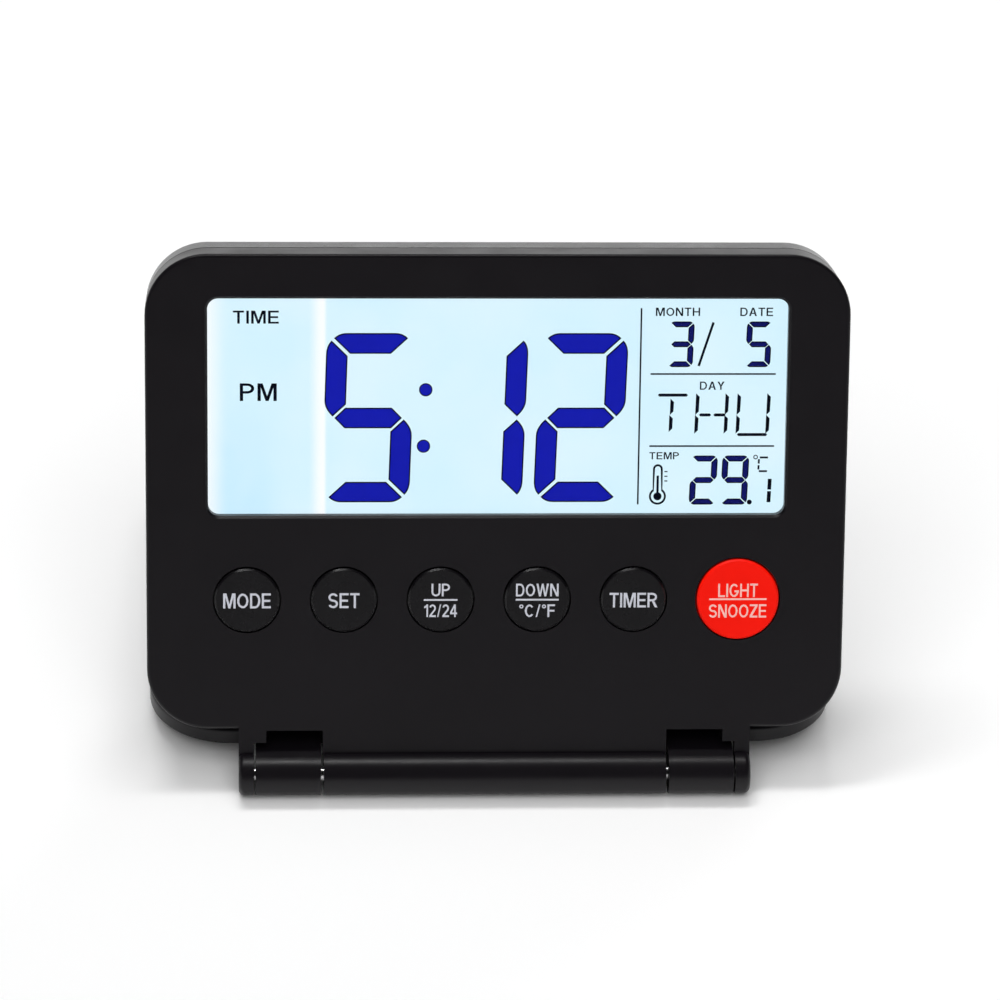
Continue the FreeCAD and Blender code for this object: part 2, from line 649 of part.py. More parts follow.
def make_ribbon():
    """Film that carries the LCD's contacts down to the board."""
    ribbon = Piece("lcd_ribbon")
    lower = board_front - d.ribbon_thick
    top = ledge_top - d.ribbon_gap
    knee = glass_low - d.ribbon_gap
    bend = board_high - d.ribbon_gap
    points = [(glass_middle, top), (glass_middle, knee), (lower, bend), (lower, board_high - d.ledge)]
    back = [(y + d.ribbon_thick, z) for y, z in reversed(points)]
    ribbon.add(-d.ribbon_half, d.ribbon_half, Polygon(*points, *back), direction="across")
    ribbon.done()


# ---------------------------------------------------------------- circuit board

def make_board():
    board = Piece("main_board")
    board.add(board_front, board_back,
              RoundedRectangle(-board_half, board_half, d.board_low, board_high, d.board_thick))
    board.cut(board_front, board_back, *[Circle(x, z, d.small_screw + d.fit_gap) for x, z in BOARD_SCREWS])
    board.done()
    chip = Piece("controller_chip")
    chip.add(board_back, board_back + d.chip_thick, Circle(d.chip_place, d.row_height, d.chip_radius))
    chip.soften("Fillet", d.chip_round, lies_at_depth(board_back + d.chip_thick))
    chip.done()
    start, end = d.crystal_place, d.crystal_place + d.crystal_length
    single("quartz_crystal", rod("crystal_can", "x", d.crystal_radius, start, end,
                                 board_back + d.crystal_radius, d.crystal_height))
    bead_x = half_width - d.bead_inset
    legs = [rod(f"thermistor_leg_{i}", "y", d.leg_radius, board_back, board_back + d.bead_stand,
                bead_x + d.leg_space * (i - 0.5), d.bead_height) for i in range(2)]
    bead = DOC.addObject("Part::Sphere", "thermistor_bead")
    bind(bead, "Radius", d.bead_radius)
    set_base(bead, TURN["z"], bead_x, board_back + d.bead_stand, d.bead_height)
    single("thermistor", fuse("thermistor_body", [*legs, bead]))
    spots = [(d.parts_start + d.part_pitch * i, z) for z in (d.parts_low, d.parts_high) for i in range(3)]
    group("board_components", [
        block(f"component_{i}", (x, x + d.part_length), (board_back, board_back + d.part_thick),
              (z, z + d.part_width)) for i, (x, z) in enumerate(spots)])
    side = d.switch_side / 2
    bore_radius = d.plunger_radius + d.plunger_bore_gap
    bodies = []
    for name, x, _ in BUTTONS:
        shell = block(f"{name}_switch_shell", (x - side, x + side), (switch_front, board_front),
                      (d.row_height - side, d.row_height + side))
        bore = rod(f"{name}_switch_bore", "y", bore_radius, switch_front - d.overcut,
                   board_front - d.switch_floor, x, d.row_height)
        bodies.append(subtract(f"{name}_switch", shell, bore))
    group("switch_bodies", bodies)


# ---------------------------------------------------------------- buttons

def make_button(name, x, radius):
    cap = Piece(f"{name}_button")
    z = d.row_height
    cap.add(-d.button_proud, flange_front, Circle(x, z, radius))
    cap.soften("Chamfer", d.cap_chamfer, lies_at_depth(-d.button_proud))
    cap.add(flange_front, flange_back, Circle(x, z, radius + d.flange_lip))
    cap.cut(d.cap_skin - d.button_proud, flange_back, Circle(x, z, radius - d.cap_wall),
            Circle(x, z, d.stem_radius))
    cap.done()
    plunger = rod(f"{name}_plunger_rod", "y", d.plunger_radius, flange_back, flange_back + d.plunger_length,
                  x, z)
    single(f"{name}_plunger", plunger)


# ---------------------------------------------------------------- battery, buzzer

def make_battery():
    cell = Piece("coin_cell")
    x, z = d.cell_place, d.cell_height
    cell.add(cell_front + d.cell_rim, cell_back, Circle(x, z, d.cell_radius))
    cell.add(cell_front, cell_front + d.cell_rim, Circle(x, z, d.cell_radius - d.cell_step))
    cell.soften("Fillet", d.cell_rim / 2, lies_at_depth(cell_back))
    cell.done()
    # minus contact: a sprung leaf between the board and the cell
    leaf = Piece("minus_contact")
    crest = cell_front - d.contact_thick
    points = [(board_back, z - d.leaf_foot), (board_back, z - d.leaf_bend), (crest, z + d.leaf_crest),
              (crest, z + d.leaf_end)]
    back = [(y + d.contact_thick, up) for y, up in reversed(points)]
    leaf.add(x - d.contact_half, x + d.contact_half, Polygon(*points, *back), direction="across")
    leaf.done()
    # plus contact: a blade from the board that bears on the cell's rim
    blade = Piece("plus_contact")
    edge = x + d.cell_radius
    blade.add(edge, edge + d.contact_thick,
              rectangle(board_back, cell_back, z - d.contact_half, z + d.contact_half), direction="across")
    blade.done()


def make_door():
    door = Piece("battery_door")
    x, z = d.cell_place, d.cell_height
    half = door_half - d.door_gap
    door.add(door_inner, case_depth, rectangle(x - half, x + half, z - half, z + half))
    # two tabs that hook under the case above the opening
    tab_back = inner_back - d.door_gap
    top = z + half
    for side in (-1, 1):
        left = x + side * d.tab_place - d.tab_width / 2
        right = x + side * d.tab_place + d.tab_width / 2
        tab_front = tab_back - d.tab_thick
        door.add(tab_front, door_inner, rectangle(left, right, top - d.tab_thick, top))
        door.add(tab_front, tab_back, rectangle(left, right, top - d.tab_thick, top + d.tab_reach))
    # thumb ridges
    for i in range(RIDGES):
        low = z - half + d.ridge_start + d.ridge_pitch * i
        door.cut(case_depth - d.ridge_deep, case_depth,
                 rectangle(x - d.ridge_half, x + d.ridge_half, low, low + d.ridge_width))
    door.done()


def make_buzzer():
    x, z = d.buzzer_place, d.buzzer_height
    seat = inner_back - d.buzzer_seat
    brass_front = seat - d.brass_thick
    ceramic_front = brass_front - d.ceramic_thick
    single("buzzer_disc", rod("buzzer_brass", "y", d.buzzer_radius, brass_front, seat, x, z))
    single("buzzer_element", rod("buzzer_ceramic", "y", d.ceramic_radius, ceramic_front, brass_front, x, z))
    outer = x + d.buzzer_radius - d.spring_inset
    group("buzzer_springs", [make_spring("inner_spring", x, z, ceramic_front),
                             make_spring("outer_spring", outer, z, brass_front)])


def make_spring(name, x, z, end):
    """A coil of wire that presses between the board and the buzzer at depth end."""
    wire, coil = d.spring_wire.value, d.spring_radius.value
    low = board_back + d.spring_wire
    length = (end - d.spring_wire - low).value
    spine = Part.makeHelix(length / CONTACT_COILS, length, coil)
    profile = Part.Wire(Part.makeCircle(wire, FreeCAD.Vector(coil, 0, 0), FreeCAD.Vector(0, 1, 0)))
    spring = DOC.addObject("Part::Feature", name)
    spring.Shape = Part.Wire(spine).makePipeShell([profile], True, True)
    set_base(spring, TURN["y"], x, low, z)
    return spring


# ---------------------------------------------------------------- screws and pins

def make_screw(name, place, under_head, reach, shank, head, head_height):
    """A screw whose head seats at depth under_head; its shank runs towards the front."""
    x, z = place
    cap = rod(f"{name}_head", "y", head, under_head, under_head + head_height, x, z)
    core = rod(f"{name}_shank", "y", shank, under_head - reach, under_head, x, z)
    arm, slot = head * d.slot_reach, head * d.slot_half
    levels = (under_head + head_height * d.slot_level, under_head + head_height + d.overcut)
    cross = [block(f"{name}_slot_a", (x - arm, x + arm), levels, (z - slot, z + slot)),
             block(f"{name}_slot_b", (x - slot, x + slot), levels, (z - arm, z + arm))]
    return subtract(name, fuse(f"{name}_blank", [cap, core]), fuse(f"{name}_cross", cross))


def make_screws():
    reach = d.screw_reach - d.fit_gap
    group("case_screws", [
        make_screw(f"case_screw_{i}", place, case_depth - d.screw_sink, reach, d.screw_shank, d.screw_head,
                   d.screw_head_height) for i, place in enumerate(CORNER_SCREWS)])
    for name, seat, places in (("board", board_back, BOARD_SCREWS), ("frame", frame_back, FRAME_SCREWS)):
        reach = seat - d.wall - d.fit_gap * 2
        group(f"{name}_screws", [
            make_screw(f"{name}_screw_{i}", place, seat, reach, d.small_screw, d.small_head,
                       d.small_head_height) for i, place in enumerate(places)])


def make_pins():
    inner, outer = barrel_half - d.pin_seat, ear_end - d.pin_inset
    for side, start, end in (("left", -outer, -inner), ("right", inner, outer)):
        single(f"hinge_pin_{side}", rod(f"pin_{side}", "x", d.pin_radius, start, end, 0, 0))


# ---------------------------------------------------------------- lid

def make_lid():
    lid = Piece("lid")
    lid.add(-lid_outer, -d.lid_gap,
            RoundedRectangle(-half_width, half_width, d.lid_foot, d.case_top, d.lid_corner))
    lid.soften("Fillet", d.lid_round, lies_at_depth(-lid_outer))
    rim = d.lid_rim
    lid.cut(-lid_outer + d.lid_skin, -d.lid_gap,
            RoundedRectangle(-half_width + rim, half_width - rim, d.lid_foot + rim, d.case_top - rim,
                             d.lid_corner - rim))
    for side in (-1, 1):
        arm = ordered(side * knuckle_start, side * arm_end)
        lid.add(-d.barrel_radius, -d.lid_gap, rectangle(*arm, 0, d.lid_foot + rim))
        knuckle = ordered(side * knuckle_start, side * knuckle_end)
        lid.add(-d.barrel_radius, -d.lid_gap, rectangle(*knuckle, 0, gusset_foot - d.arm_gap))
        lid.add(*knuckle, Circle(0, 0, d.barrel_radius), direction="across")
        lid.cut(*knuckle, Circle(0, 0, d.pin_radius + d.running_gap), direction="across")
    lid.done("lid")
    spots = [(side * (half_width - d.pad_inset), z) for side in (-1, 1) for z in (d.pad_low, pad_high)]
    pads = [rod(f"lid_pad_{i}", "y", d.pad_radius, -lid_outer + d.lid_skin, -d.pad_gap, *spot)
            for i, spot in enumerate(spots)]
    group("lid_pads", pads, "lid")


# ---------------------------------------------------------------- stance

def stance():
    """Placements that stand the opened clock on its hinge barrel and the lid's far pads."""
    reach = pad_high.value + d.pad_radius.value
    slope = math.asin(d.barrel_radius.value / math.hypot(reach, d.pad_gap.value))
    slope += math.atan2(d.pad_gap.value, reach)
    lean = 90 - d.stand_angle.value + math.degrees(slope)
    across = FreeCAD.Vector(1, 0, 0)
    lid_turn = FreeCAD.Rotation(across, -lean - d.stand_angle.value)
    tip = lid_turn.multVec(FreeCAD.Vector(0, -lid_outer.value + d.lid_round.value, d.case_top.value)).y
    back = (tip - d.barrel_radius.value) / 2
    axis = FreeCAD.Vector(0, -back, d.barrel_radius.value)
    return {"clock": FreeCAD.Placement(axis, FreeCAD.Rotation(across, -lean)),
            "lid": FreeCAD.Placement(axis, lid_turn)}


def check(thing):
    for state in thing.State:
        if state in ("Invalid", "Error"):
            raise RuntimeError(f"{thing.Name} failed: {thing.State}")


def main():
    make_front_case()
    make_rear_case()
    make_display()
    make_ribbon()
    make_board()
    for name, x, radius in BUTTONS:
        make_button(name, x, radius)
    make_battery()
    make_door()
    make_buzzer()
    make_screws()
    make_pins()
    make_lid()
    DOC.recompute()
    frames = stance()
    for thing, frame in PIECES.values():
        thing.Placement = frames[frame]
    DOC.recompute()
    for thing in DOC.Objects:
        check(thing)
    os.makedirs("parts", exist_ok=True)
    for name, (thing, _) in sorted(PIECES.items()):
        shape = thing.Shape
        if shape.isNull() or not shape.isValid() or not shape.Solids:
            raise RuntimeError(f"{name} has no valid solid")
        shape.exportStep(f"parts/{name}.step")
    axis = frames["clock"].Base
    print("pieces", len(PIECES), "hinge axis", axis, "lean", frames["clock"].Rotation.Angle * 180 / math.pi)


main()
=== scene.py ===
"""The looks of the folding travel clock: finishes, display graphics, button legends, light and camera.

Positions on the clock are written in millimetres in its own upright frame: across the hinge (X), into
the case (Y) and up the face (Z), with the hinge axis as origin.  FACE turns them into the row frame.
"""
import json
import math

import bpy
import bmesh
from mathutils import Matrix, Vector


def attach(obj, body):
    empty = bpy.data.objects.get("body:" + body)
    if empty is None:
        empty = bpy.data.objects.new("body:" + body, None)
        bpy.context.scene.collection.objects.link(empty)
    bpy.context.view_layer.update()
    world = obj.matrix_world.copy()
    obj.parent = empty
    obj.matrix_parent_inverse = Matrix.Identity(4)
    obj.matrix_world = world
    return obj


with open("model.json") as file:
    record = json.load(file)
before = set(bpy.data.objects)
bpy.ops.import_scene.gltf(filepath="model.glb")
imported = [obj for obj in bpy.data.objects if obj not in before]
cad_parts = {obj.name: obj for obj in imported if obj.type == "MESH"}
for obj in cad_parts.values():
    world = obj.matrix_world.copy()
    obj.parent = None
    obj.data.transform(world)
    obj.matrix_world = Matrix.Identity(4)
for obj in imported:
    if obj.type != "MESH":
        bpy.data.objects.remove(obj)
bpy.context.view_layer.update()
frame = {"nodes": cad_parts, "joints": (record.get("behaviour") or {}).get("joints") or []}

MM = 0.001
scene = bpy.context.scene
JOINTS = {joint["name"]: joint for joint in frame["joints"]}
HINGE = Vector(JOINTS["lid_hinge"]["pos_m"])
INWARD = Vector(JOINTS["mode_press"]["axis"]).normalized()
ACROSS = Vector((1, 0, 0))
UP = ACROSS.cross(INWARD)
FACE = Matrix.Translation(HINGE) @ Matrix((ACROSS, INWARD, UP)).transposed().to_4x4()
TO_FACE = FACE.inverted()


def at(across, inward, up):
    """Row-frame point of a place given in face millimetres."""
    return FACE @ (Vector((across, inward, up)) * MM)


def face_box(node):
    """Lowest and highest face-frame corners of a CAD node, in millimetres."""
    points = [TO_FACE @ vertex.co / MM for vertex in frame["nodes"][node].data.vertices]
    low = Vector([min(p[i] for p in points) for i in range(3)])
    high = Vector([max(p[i] for p in points) for i in range(3)])
    return low, high


# ---------------------------------------------------------------- camera

CAMERA_PLACE = (-32.9, -656.1, 192.8)
CAMERA_AIM = Vector((0.0494, 0.9732, -0.2247))
CAMERA_RIGHT = Vector((0.9988, -0.0484, 0.0097))
CAMERA_LENS = 166.9


def make_camera():
    data = bpy.data.cameras.new("camera")
    data.lens = CAMERA_LENS
    data.sensor_width = 36
    camera = bpy.data.objects.new("camera", data)
    scene.collection.objects.link(camera)
    turn = FACE.to_3x3()
    back = -(turn @ CAMERA_AIM).normalized()
    right = turn @ CAMERA_RIGHT
    right = (right - back * right.dot(back)).normalized()
    up = back.cross(right)
    basis = Matrix((right, up, back)).transposed().to_4x4()
    camera.matrix_world = Matrix.Translation(at(*CAMERA_PLACE)) @ basis
    scene.camera = camera


# ---------------------------------------------------------------- node helpers

class Shader:
    """A material whose Principled shader is fed by small node chains."""

    def __init__(self, name, color, roughness, **values):
        self.material = bpy.data.materials.new(name)
        self.material.use_nodes = True
        self.tree = self.material.node_tree
        self.main = self.tree.nodes["Principled BSDF"]
        self.set(**{"Base Color": (*color, 1), "Roughness": roughness}, **values)
        self.color = color

    def set(self, **values):
        for name, value in values.items():
            self.main.inputs[name.replace("_", " ")].default_value = value
        return self

    def node(self, kind, **settings):
        made = self.tree.nodes.new(f"ShaderNode{kind}")
        for name, value in settings.items():
            setattr(made, name, value)
        return made

    def link(self, out, into):
        self.tree.links.new(out, into)

    def place(self):
        """Object coordinates: row-frame metres that ride with the piece."""
        return self.node("TexCoord").outputs["Object"]

    def noise(self, size, detail=3.0, stretch=None):
        """Noise whose blobs are about size millimetres across."""
        noise = self.node("TexNoise")
        noise.inputs["Scale"].default_value = 1 / (size * MM)
        noise.inputs["Detail"].default_value = detail
        where = self.place()
        if stretch:
            mapping = self.node("Mapping")
            mapping.inputs["Scale"].default_value = stretch
            self.link(where, mapping.inputs["Vector"])
            where = mapping.outputs["Vector"]
        self.link(where, noise.inputs["Vector"])
        return noise.outputs["Fac"]

    def fit(self, value, low, high, out_low, out_high, smooth=False):
        ranger = self.node("MapRange", interpolation_type="SMOOTHSTEP" if smooth else "LINEAR")
        for name, number in (("From Min", low), ("From Max", high), ("To Min", out_low), ("To Max", out_high)):
            ranger.inputs[name].default_value = number
        self.link(value, ranger.inputs["Value"])
        return ranger.outputs["Result"]

    def math(self, operation, first, second):
        made = self.node("Math", operation=operation)
        for socket, value in zip(made.inputs, (first, second)):
            if isinstance(value, (int, float)):
                socket.default_value = value
            else:
                self.link(value, socket)
        return made.outputs[0]

    def mix(self, factor, first, second):
        """Colour mix; first and second are colours or sockets."""
        made = self.node("Mix", data_type="RGBA")
        for socket, value in ((made.inputs[6], first), (made.inputs[7], second)):
            if isinstance(value, tuple):
                socket.default_value = (*value, 1)
            else:
                self.link(value, socket)
        self.link(factor, made.inputs["Factor"])
        return made.outputs[2]

    def bump(self, height, depth):
        """Relief of about depth millimetres."""
        bump = self.node("Bump")
        bump.inputs["Distance"].default_value = depth * MM
        self.link(height, bump.inputs["Height"])
        self.link(bump.outputs["Normal"], self.main.inputs["Normal"])

    def vary(self, name, size, low, high):
        self.link(self.fit(self.noise(size), 0.3, 0.7, low, high), self.main.inputs[name])
        return self

    def mottle(self, size, second):
        self.link(self.mix(self.noise(size), self.color, second), self.main.inputs["Base Color"])
        return self

    def across_up(self):
        """Face-frame millimetres across and up, as sockets."""
        moved = self.node("VectorMath", operation="SUBTRACT")
        moved.inputs[1].default_value = HINGE
        self.link(self.place(), moved.inputs[0])
        found = []
        for axis in (ACROSS, UP):
            dot = self.node("VectorMath", operation="DOT_PRODUCT")
            dot.inputs[1].default_value = axis / MM
            self.link(moved.outputs[0], dot.inputs[0])
            found.append(dot.outputs["Value"])
        return found


# ---------------------------------------------------------------- finishes

LCD_PALE = (0.665, 0.885, 0.985)
LCD_BLUE = (0.54, 0.81, 0.985)
LCD_WHITE = (0.97, 0.99, 1.0)
BAND_RIGHT = -24.95
SHELL_BLACK = (0.0040, 0.0032, 0.0044)


def shell_plastic(name, color, low, high):
    """Black moulded plastic with a fine spark-eroded grain; low and high bound its roughness."""
    shader = Shader(name, color, (low + high) / 2)
    shader.set(**{"Specular IOR Level": 0.26})
    shader.mottle(18, tuple(c * 1.5 for c in color))
    shader.vary("Roughness", 6, low, high)
    grain = shader.math("ADD", shader.noise(0.22, 2.0), shader.math("MULTIPLY", shader.noise(0.8, 2.0), 0.6))
    shader.bump(grain, 0.006)
    return shader.material


def smooth_plastic(name, color, roughness=0.35, grain=0.5, depth=0.004, **values):
    shader = Shader(name, color, roughness, **values)
    shader.mottle(5, tuple(min(1.0, c * 1.15) for c in color))
    shader.vary("Roughness", 3, roughness * 0.88, roughness * 1.12)
    shader.bump(shader.noise(grain), depth)
    return shader.material


def metal(name, color, roughness, stretch=(1, 1, 12)):
    """Metal with fine drawn lines."""
    shader = Shader(name, color, roughness, Metallic=1.0)
    lines = shader.noise(0.5, 4.0, stretch)
    shader.link(shader.fit(lines, 0.3, 0.7, roughness * 0.7, roughness * 1.4), shader.main.inputs["Roughness"])
    shader.bump(lines, 0.003)
    shader.mottle(4, tuple(c * 0.86 for c in color))
    return shader.material


def clear(name, color, roughness=0.02):
    shader = Shader(name, color, roughness, IOR=1.49)
    shader.set(**{"Transmission Weight": 1.0})
    shader.vary("Roughness", 9, roughness * 0.6, roughness * 1.6)
    return shader.material


def board_finish():
    """Green solder mask over copper tracks."""
    shader = Shader("board_finish", (0.006, 0.09, 0.035), 0.3)
    shader.set(**{"Coat Weight": 0.3, "Coat Roughness": 0.1})
    tracks = shader.node("TexVoronoi", feature="DISTANCE_TO_EDGE")
    tracks.inputs["Scale"].default_value = 1 / (2.2 * MM)
    shader.link(shader.place(), tracks.inputs["Vector"])
    edge = shader.fit(tracks.outputs["Distance"], 0.05, 0.09, 1, 0, True)
    shader.link(shader.mix(edge, shader.color, (0.02, 0.17, 0.06)), shader.main.inputs["Base Color"])
    shader.bump(edge, 0.03)
    return shader.material


def lcd_glow(window):
    """The lit display behind its polariser: pale cyan, whiter at the left edge, the top and one band."""
    low, high = window
    shader = Shader("lcd_glow", (0.02, 0.026, 0.03), 0.25)
    across, up = shader.across_up()
    left = shader.fit(across, low.x, low.x + 4.2, 1, 0, True)
    rise = shader.fit(across, BAND_RIGHT - 2.6, BAND_RIGHT - 0.5, 0, 1, True)
    fall = shader.fit(across, BAND_RIGHT - 0.3, BAND_RIGHT + 0.3, 1, 0, True)
    band = shader.math("MULTIPLY", rise, fall)
    top = shader.fit(up, high.z - 1.1, high.z - 0.2, 0, 0.9, True)
    white = shader.math("MAXIMUM", shader.math("MAXIMUM", left, band), top)
    patch = shader.math("MULTIPLY", shader.fit(across, BAND_RIGHT - 3, low.x + 5, 0, 1, True),
                        shader.fit(up, high.z - 13, low.z + 5, 0, 1, True))
    cloud = shader.math("MULTIPLY", patch, shader.fit(shader.noise(9), 0.3, 0.7, 0.4, 1.0))
    tint = shader.mix(cloud, LCD_PALE, LCD_BLUE)
    tint = shader.mix(shader.fit(shader.noise(14), 0.35, 0.65, 0, 0.2), tint, LCD_WHITE)
    tint = shader.mix(white, tint, LCD_WHITE)
    shader.link(tint, shader.main.inputs["Emission Color"])
    shader.set(**{"Emission Strength": 1.08})
    return shader.material


def ink(name, color, glow=0.0):
    """Printed or switched marking; glow lets the lit display show through it."""
    shader = Shader(name, color, 0.5)
    shader.set(**{"Specular IOR Level": 0.0})
    shader.mottle(1.2, tuple(min(1.0, c * 1.15 + 0.001) for c in color))
    shader.bump(shader.noise(0.3), 0.001)
    if glow:
        shader.set(**{"Emission Color": (*color, 1), "Emission Strength": glow})
    return shader.material


def make_finishes(lens):
    finishes = {
        "shell": shell_plastic("shell_plastic", SHELL_BLACK, 0.33, 0.4),
        "rear_shell": shell_plastic("rear_shell_plastic", SHELL_BLACK, 0.24, 0.3),
        "lens": clear("lens_clear", (0.97, 0.99, 1.0)),
        "film": clear("film_clear", (0.8, 0.85, 0.85), 0.05),
        "lcd": lcd_glow(lens),
        "glass": clear("glass_clear", (0.9, 0.97, 0.98), 0.01),
        "guide": smooth_plastic("light_guide_acrylic", (0.8, 0.92, 0.98), 0.12),
        "sheet": smooth_plastic("reflector_white", (0.86, 0.87, 0.87), 0.6),
        "frame": smooth_plastic("frame_white", (0.7, 0.7, 0.67), 0.45),
        "ribbon": smooth_plastic("ribbon_amber", (0.5, 0.2, 0.03), 0.3),
        "board": board_finish(),
        "resin": smooth_plastic("chip_resin", (0.012, 0.012, 0.013), 0.2),
        "steel": metal("bright_steel", (0.62, 0.62, 0.63), 0.22),
        "brass": metal("spring_brass", (0.78, 0.56, 0.22), 0.3),
        "ceramic": smooth_plastic("ceramic_cream", (0.62, 0.54, 0.4), 0.55),
        "white": smooth_plastic("white_acetal", (0.78, 0.78, 0.74), 0.4),
        "rubber": smooth_plastic("pad_rubber", (0.012, 0.012, 0.012), 0.75, 0.35, 0.02),
        "button": smooth_plastic("button_black", (0.0036, 0.0031, 0.0040), 0.27, 0.3, 0.006,
                                 **{"Specular IOR Level": 0.34}),
        "red": smooth_plastic("button_red", (0.98, 0.006, 0.0), 0.45, 0.3, 0.006,
                              **{"Specular IOR Level": 0.15}),
    }
    return finishes


FINISH_OF = {
    "shell": ["front_case", "lid"],
    "rear_shell": ["rear_case", "battery_door"],
    "lens": ["display_lens"],
    "lcd": ["lcd_front_polariser"],
    "film": ["lcd_rear_polariser"],
    "glass": ["lcd_front_glass", "lcd_rear_glass"],
    "guide": ["light_guide"],
    "sheet": ["reflector_sheet"],
    "frame": ["display_frame"],
    "ribbon": ["lcd_ribbon"],
    "board": ["main_board"],
    "resin": ["controller_chip", "thermistor"],
    "steel": ["quartz_crystal", "switch_bodies", "coin_cell", "buzzer_springs", "case_screws", "board_screws",
              "frame_screws", "hinge_pin_left", "hinge_pin_right"],
    "brass": ["minus_contact", "plus_contact", "buzzer_disc"],
    "ceramic": ["buzzer_element", "board_components"],
    "white": ["backlight_led", *[f"{name}_plunger" for name in ("mode", "set", "up", "down", "timer", "snooze")]],
    "rubber": ["lid_pads"],
    "button": [f"{name}_button" for name in ("mode", "set", "up", "down", "timer")],
    "red": ["snooze_button"],
}


def dress_nodes(finishes):
    for finish, nodes in FINISH_OF.items():
        for node in nodes:
            data = frame["nodes"][node].data
            data.materials.clear()
            data.materials.append(finishes[finish])


# ---------------------------------------------------------------- flat artwork on the face

def add_piece(name, mesh, material, body="clock"):
    piece = bpy.data.objects.new(name, mesh)
    scene.collection.objects.link(piece)
    mesh.materials.append(material)
    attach(piece, body)
    return piece


ARC_STEPS = 10
PEN = 0.142


def arc(x, z, across, up, start, end):
    """Points along an ellipse about (x, z), between two angles in degrees."""
    angles = [math.radians(start + (end - start) * i / ARC_STEPS) for i in range(ARC_STEPS + 1)]
    return [(x + across * math.cos(a), z + up * math.sin(a)) for a in angles]


def box(left, right, low, high):
    return [(left, low), (right, low), (right, high), (left, high)]


def bowl(left, right, low, high, inward):
    """An outline with a straight left side and a round right side, moved inwards."""
    x, z = (left + right) / 2, (low + high) / 2
    return [(left + inward, low + inward), (left + inward, high - inward),
            *arc(x, z, right - x - inward, (high - low) / 2 - inward, 90, -90)]


def round_letter(width, start, end):
    """An open round stroke, such as C."""
    middle = width / 2
    return (arc(middle, 0.5, middle, 0.5, start, end)
            + arc(middle, 0.5, middle - PEN, 0.5 - PEN, end, start))


